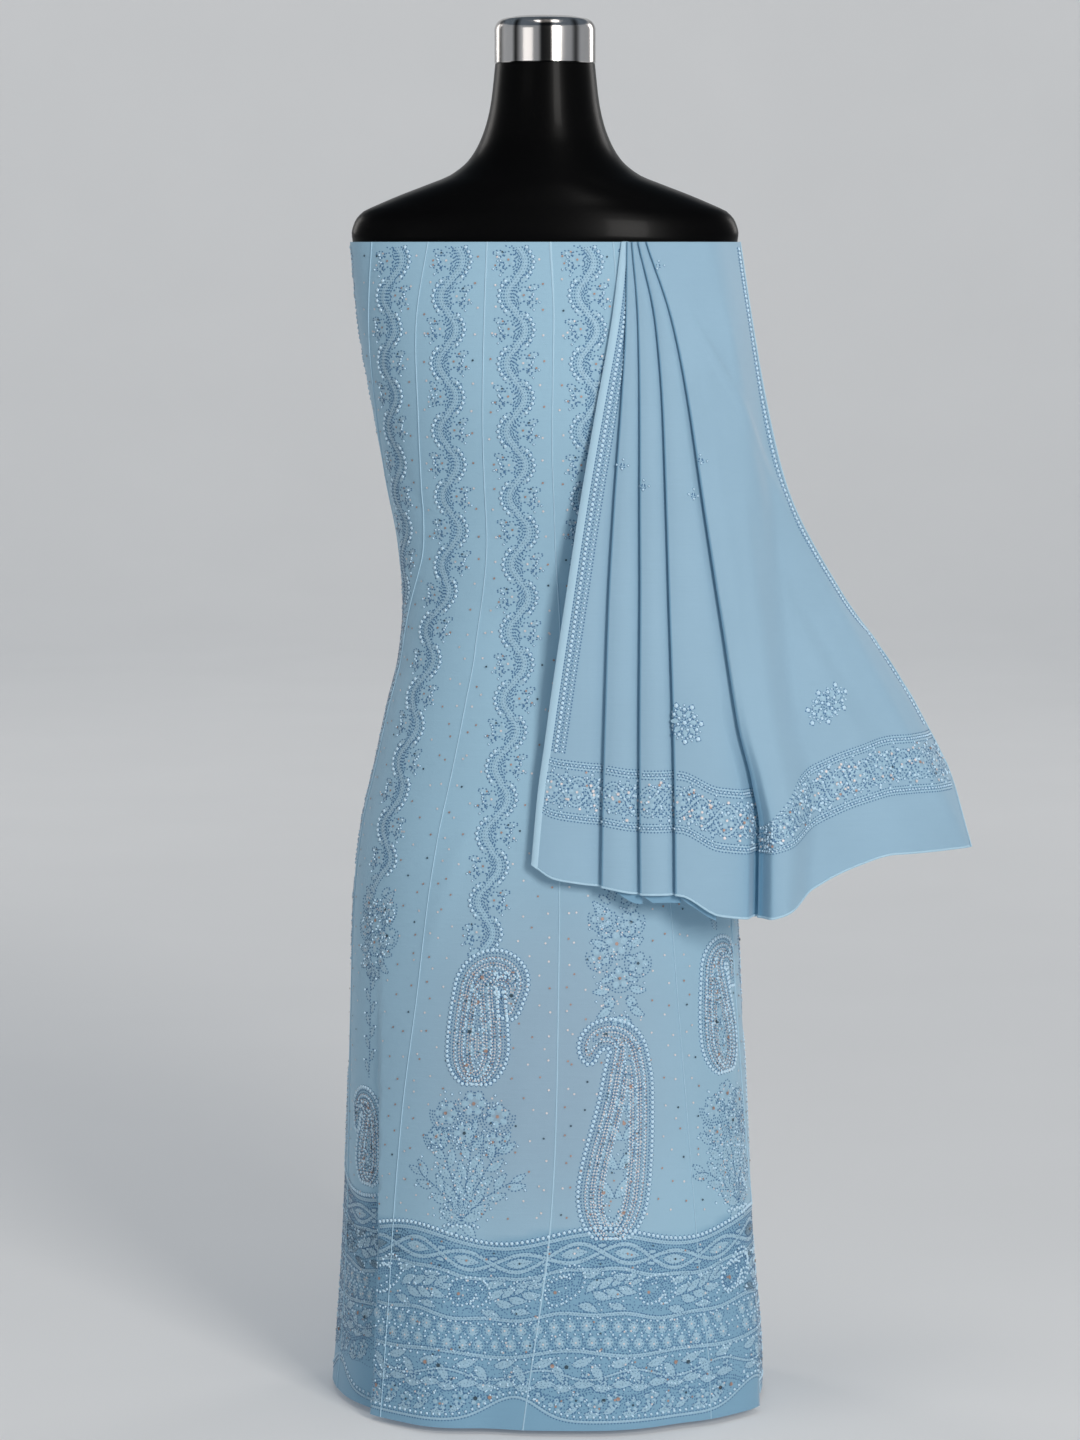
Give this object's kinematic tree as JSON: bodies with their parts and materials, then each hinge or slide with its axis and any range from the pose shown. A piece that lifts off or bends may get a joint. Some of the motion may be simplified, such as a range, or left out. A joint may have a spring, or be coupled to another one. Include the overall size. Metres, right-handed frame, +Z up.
{
  "type": "anarkali kurta set on a dress form",
  "caption": "Pale blue anarkali kurta of flared gores with its pleated dupatta, on a limbless black dress form with a chrome neck cap.",
  "frame": {"origin": "centre of the base plate's underside, on the floor", "axes": "+Z up, -Y out of the front of the kurta, +X towards the side where the dupatta fans out"},
  "size_m": [0.6402, 0.35, 1.38],
  "materials": {
    "kurta_georgette": "semi-sheer woven georgette, soft matte with a slight sheen",
    "dupatta_chiffon": "fine woven chiffon, soft matte",
    "form_gloss_black": "high gloss",
    "cap_chrome": "polished",
    "stand_steel": "brushed"
  },
  "bodies": {
    "root": {"kurta_front_kali_1": "kurta_georgette", "kurta_front_kali_2": "kurta_georgette", "kurta_front_kali_3": "kurta_georgette", "kurta_front_kali_4": "kurta_georgette", "kurta_front_kali_5": "kurta_georgette", "kurta_front_kali_6": "kurta_georgette", "kurta_back_kali_1": "kurta_georgette", "kurta_back_kali_2": "kurta_georgette", "kurta_back_kali_3": "kurta_georgette", "kurta_back_kali_4": "kurta_georgette", "dupatta": "dupatta_chiffon", "dress_form_torso": "form_gloss_black", "neck_cap": "cap_chrome", "stand_pole": "stand_steel", "base_plate": "stand_steel"}
  },
  "joints": []
}
